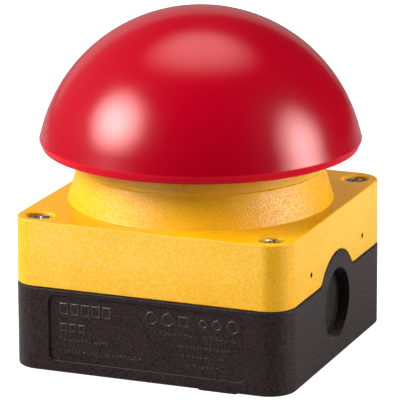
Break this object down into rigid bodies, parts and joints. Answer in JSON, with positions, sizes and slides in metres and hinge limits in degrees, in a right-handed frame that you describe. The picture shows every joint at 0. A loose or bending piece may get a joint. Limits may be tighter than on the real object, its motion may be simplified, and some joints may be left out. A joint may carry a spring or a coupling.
{
  "type": "emergency stop button",
  "caption": "Surface-mounted emergency stop with a large red mushroom head that pushes in and pulls out, on a square yellow and black enclosure with knock-out cable entries.",
  "frame": {"origin": "under the centre of the enclosure, at the height of its wall pads", "axes": "+Z out of the wall along the head's travel, -Y the face with the marking panel, cable entries on +X and -X"},
  "size_m": [0.094, 0.094, 0.1009],
  "materials": {
    "red_plastic": "glossy moulded plastic",
    "yellow_plastic": "satin, fine spark-eroded grain",
    "black_plastic": "satin, fine spark-eroded grain",
    "black_nylon": "satin moulded",
    "white_acetal": "smooth moulded",
    "grey_plastic": "satin moulded",
    "green_plastic": "smooth moulded",
    "contact_red_plastic": "smooth moulded",
    "seal_rubber": "matt",
    "zinc_steel": "bright zinc plate",
    "spring_steel": "drawn wire",
    "brass": "bright stamped"
  },
  "bodies": {
    "enclosure": {"base": "black_plastic", "bellows_seal": "seal_rubber", "contact_rail": "black_nylon", "guide_bush": "white_acetal", "latch_cover": "black_nylon", "latch_housing": "black_nylon", "latch_screw_1": "zinc_steel", "latch_screw_2": "zinc_steel", "latch_screw_3": "zinc_steel", "latch_screw_4": "zinc_steel", "latch_spring_left": "spring_steel", "latch_spring_right": "spring_steel", "lid": "yellow_plastic", "lid_gasket": "seal_rubber", "lid_screw_1": "zinc_steel", "lid_screw_2": "zinc_steel", "lid_screw_3": "zinc_steel", "lid_screw_4": "zinc_steel", "nc_clamp_left": "zinc_steel", "nc_clamp_right": "zinc_steel", "nc_housing": "grey_plastic", "nc_spring": "spring_steel", "nc_terminal_left": "brass", "nc_terminal_right": "brass", "nc_terminal_screw_left": "zinc_steel", "nc_terminal_screw_right": "zinc_steel", "no_clamp_left": "zinc_steel", "no_clamp_right": "zinc_steel", "no_housing": "grey_plastic", "no_spring": "spring_steel", "no_terminal_left": "brass", "no_terminal_right": "brass", "no_terminal_screw_left": "zinc_steel", "no_terminal_screw_right": "zinc_steel", "rail_screw_1": "zinc_steel", "rail_screw_2": "zinc_steel", "return_spring": "spring_steel", "seal_clamp_ring": "zinc_steel"},
    "push_head": {"mushroom_head": "red_plastic", "plunger": "black_nylon", "head_screw_1": "zinc_steel", "head_screw_2": "zinc_steel", "head_screw_3": "zinc_steel", "pressure_plate": "black_nylon", "centre_washer": "zinc_steel", "centre_screw": "zinc_steel"},
    "no_contact": {"no_plunger": "green_plastic", "no_bridge": "brass"},
    "nc_contact": {"nc_plunger": "contact_red_plastic", "nc_bridge": "brass"},
    "latch_right": {"latch_slide_right": "white_acetal"},
    "latch_left": {"latch_slide_left": "white_acetal"}
  },
  "joints": [
    {"name": "head_push", "type": "slide", "parent": "enclosure", "child": "push_head", "axis": [0, 0, 1], "range_m": [-0.006, 0], "deforming": ["return_spring", "bellows_seal"]},
    {"name": "no_push", "type": "slide", "parent": "enclosure", "child": "no_contact", "axis": [0, 0, 1], "range_m": [-0.006, 0], "deforming": ["no_spring"]},
    {"name": "nc_push", "type": "slide", "parent": "enclosure", "child": "nc_contact", "axis": [0, 0, 1], "range_m": [-0.006, 0], "deforming": ["nc_spring"]},
    {"name": "latch_right_in", "type": "slide", "parent": "enclosure", "child": "latch_right", "axis": [1, 0, 0], "range_m": [-0.0015, 0], "deforming": ["latch_spring_right"]},
    {"name": "latch_left_in", "type": "slide", "parent": "enclosure", "child": "latch_left", "axis": [-1, 0, 0], "range_m": [-0.0015, 0], "deforming": ["latch_spring_left"]}
  ],
  "couplings": [
    {"joint": "no_push", "follows": "head_push", "ratio": 1},
    {"joint": "nc_push", "follows": "head_push", "ratio": 1},
    {"joint": "latch_right_in", "follows": "head_push", "ratio": 0.25},
    {"joint": "latch_left_in", "follows": "head_push", "ratio": 0.25}
  ]
}
